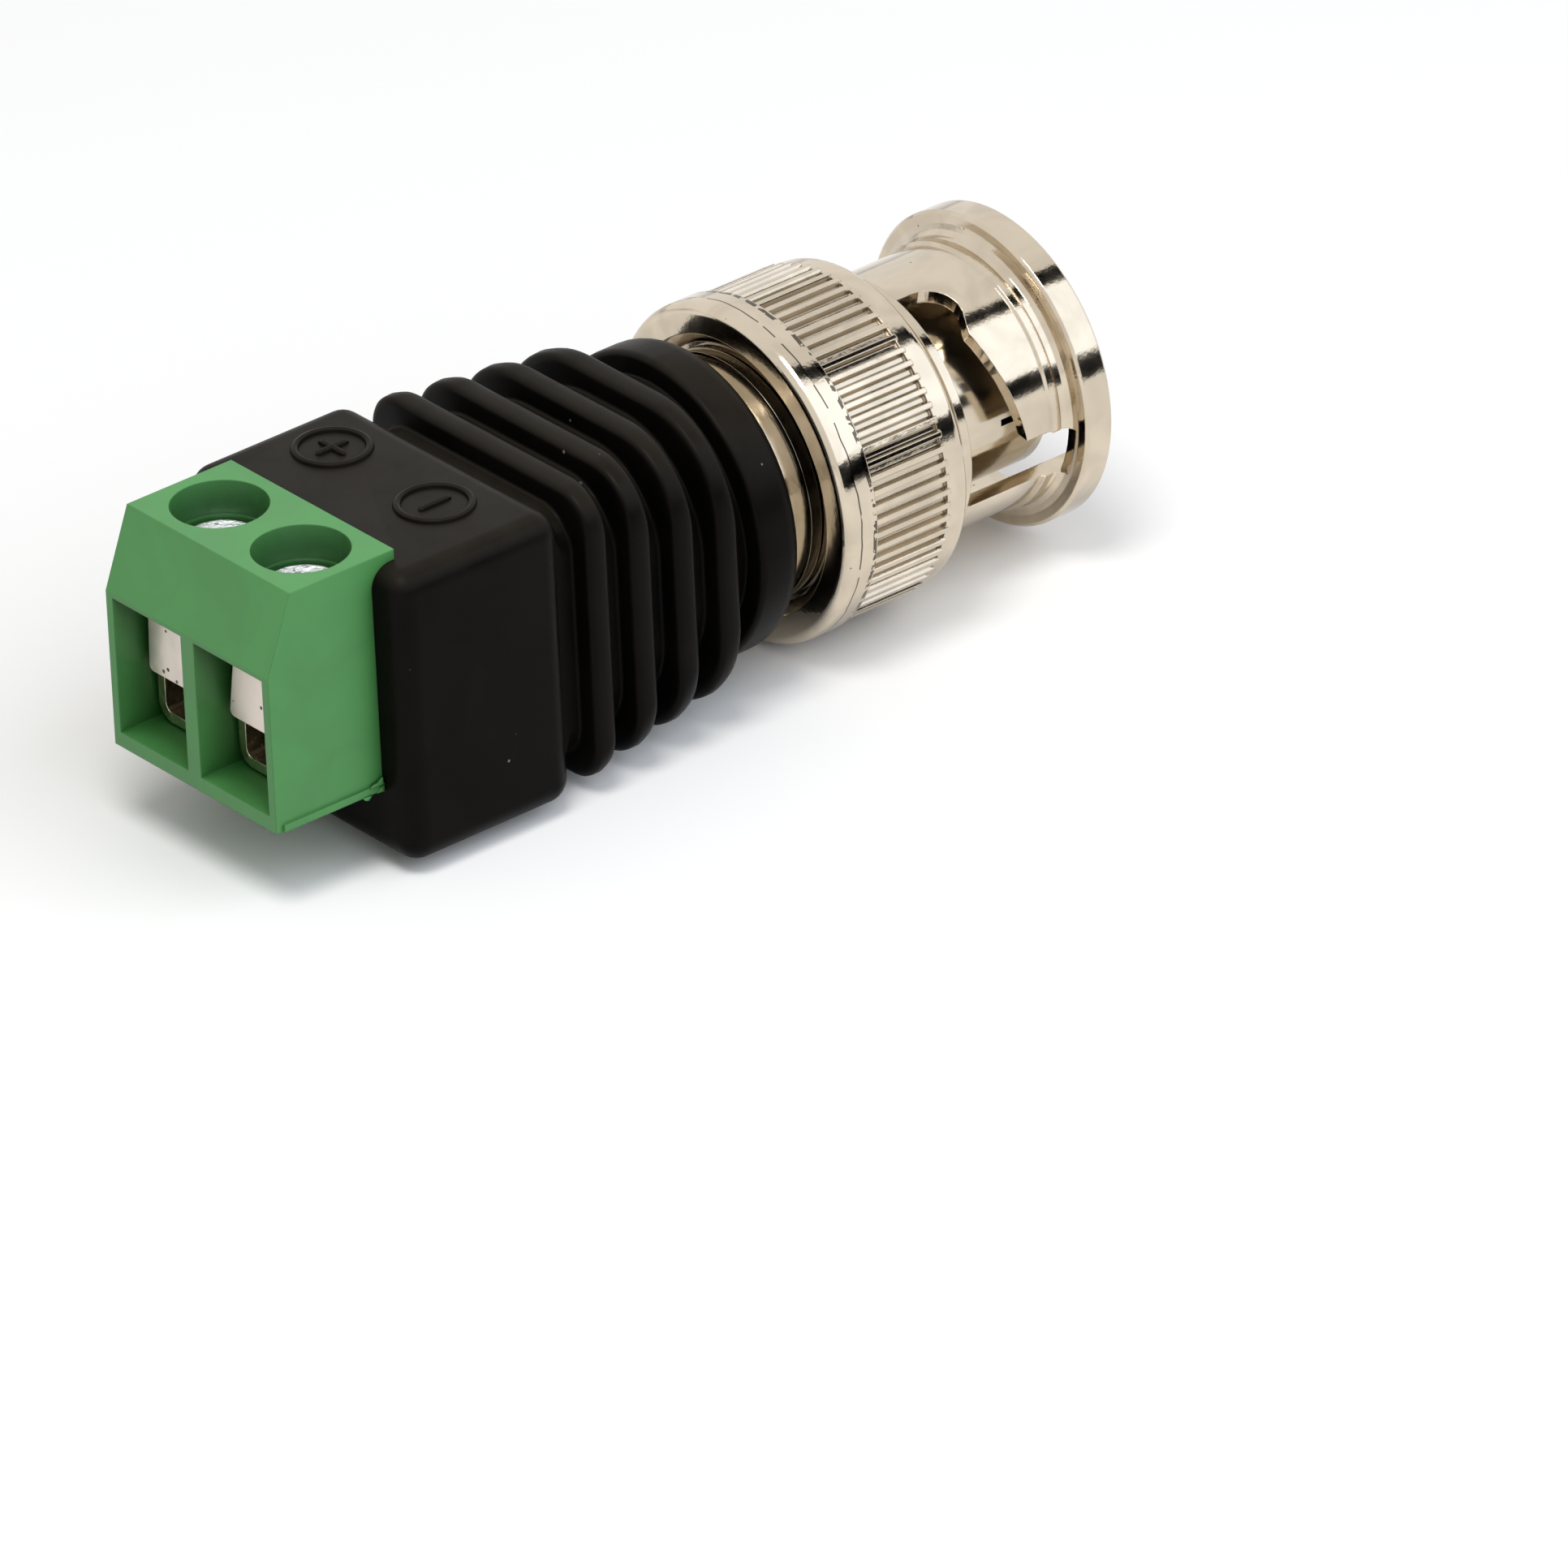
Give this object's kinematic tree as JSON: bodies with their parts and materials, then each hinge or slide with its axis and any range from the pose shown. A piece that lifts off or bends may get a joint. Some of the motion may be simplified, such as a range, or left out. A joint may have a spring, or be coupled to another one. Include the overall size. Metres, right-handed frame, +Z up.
{
  "type": "bnc screw terminal adapter",
  "caption": "BNC plug with a bayonet coupling nut on a ribbed boot that carries a green two-way screw terminal block",
  "frame": {"origin": "below the middle of the adapter's length, on the surface that its coupling nut rests on", "axes": "+X runs from the terminal block along the plug's axis to the mating end, +Y goes to the side of the plus terminal, +Z is up, the way the screw heads face"},
  "size_m": [0.0416, 0.0144, 0.0145],
  "materials": {
    "green_plastic": "satin",
    "zinc_plate": "satin",
    "cage_plate": "satin",
    "tin_plate": "satin",
    "boot_vinyl": "satin",
    "red_lead": "satin",
    "black_lead": "satin",
    "body_nickel": "polished",
    "spring_steel": "satin",
    "gasket_rubber": "matte",
    "nut_nickel": "polished",
    "insulator_white": "satin",
    "pin_gold": "gloss"
  },
  "bodies": {
    "adapter": {"block_housing": "green_plastic", "contact_strip_plus": "tin_plate", "contact_strip_minus": "tin_plate", "boot": "boot_vinyl", "lead_plus": "red_lead", "lead_minus": "black_lead", "connector_body": "body_nickel", "retaining_collar": "body_nickel", "wave_washer": "spring_steel", "seat_washer": "spring_steel", "gasket": "gasket_rubber", "dielectric": "insulator_white", "rear_insulator": "insulator_white", "centre_pin": "pin_gold"},
    "coupling_carriage": {"thrust_washer": "spring_steel"},
    "coupling": {"coupling_nut": "nut_nickel"},
    "screw_plus": {"terminal_screw_plus": "zinc_plate"},
    "screw_minus": {"terminal_screw_minus": "zinc_plate"},
    "cage_plus": {"clamp_cage_plus": "cage_plate"},
    "cage_minus": {"clamp_cage_minus": "cage_plate"}
  },
  "joints": [
    {"name": "coupling_push", "type": "slide", "parent": "adapter", "child": "coupling_carriage", "axis": [1, 0, 0], "range_m": [0, 0.0006], "stiffness_N_per_m": 2000, "springref_m": -0.0002, "deforming": ["wave_washer"]},
    {"name": "coupling_turn", "type": "hinge", "parent": "coupling_carriage", "child": "coupling", "pos_m": [0, 0, 0.00724], "axis": [1, 0, 0], "continuous": true},
    {"name": "cage_plus_lift", "type": "slide", "parent": "adapter", "child": "cage_plus", "axis": [0, 0, 1], "range_m": [0, 0.00125]},
    {"name": "screw_plus_turn", "type": "hinge", "parent": "adapter", "child": "screw_plus", "pos_m": [-0.01694, 0.00254, 0.0118], "axis": [0, 0, -1], "range_deg": [0, 900]},
    {"name": "cage_minus_lift", "type": "slide", "parent": "adapter", "child": "cage_minus", "axis": [0, 0, 1], "range_m": [0, 0.00125]},
    {"name": "screw_minus_turn", "type": "hinge", "parent": "adapter", "child": "screw_minus", "pos_m": [-0.01694, -0.00254, 0.0118], "axis": [0, 0, -1], "range_deg": [0, 900]}
  ],
  "couplings": [
    {"joint": "screw_plus_turn", "follows": "cage_plus_lift", "rad_per_m": 12566},
    {"joint": "screw_minus_turn", "follows": "cage_minus_lift", "rad_per_m": 12566}
  ]
}
